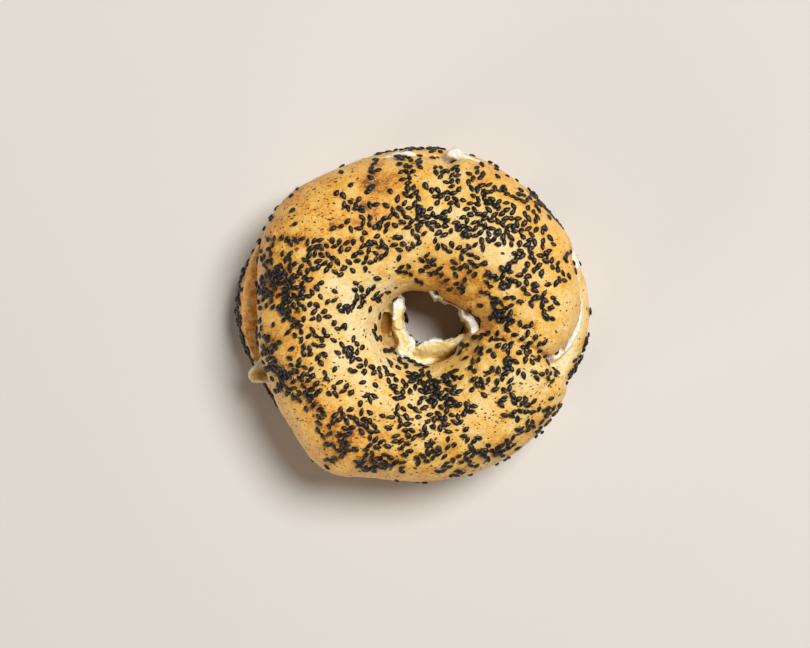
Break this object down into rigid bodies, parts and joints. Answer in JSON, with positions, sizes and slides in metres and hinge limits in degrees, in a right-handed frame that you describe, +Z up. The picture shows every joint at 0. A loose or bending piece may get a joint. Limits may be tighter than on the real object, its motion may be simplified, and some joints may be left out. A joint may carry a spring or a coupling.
{
  "type": "filled bagel",
  "caption": "Ring-shaped bread roll cut level in two and filled: seeded lower half, cream cheese layer, seeded domed upper half.",
  "frame": {"origin": "middle of the footprint, on the flat underside of the lower half", "axes": "+Z up through the hole; +X towards the side where the dough's end is tucked in; +Y is the remaining side, at a right angle to both"},
  "size_m": [0.1212, 0.1147, 0.0493],
  "materials": {
    "upper_bread": "satin",
    "cream_cheese": "satin",
    "lower_bread": "satin",
    "sesame_seeds": "satin"
  },
  "bodies": {
    "root": {"top_half": "upper_bread", "cream_cheese": "cream_cheese", "bottom_half": "lower_bread"}
  },
  "joints": []
}
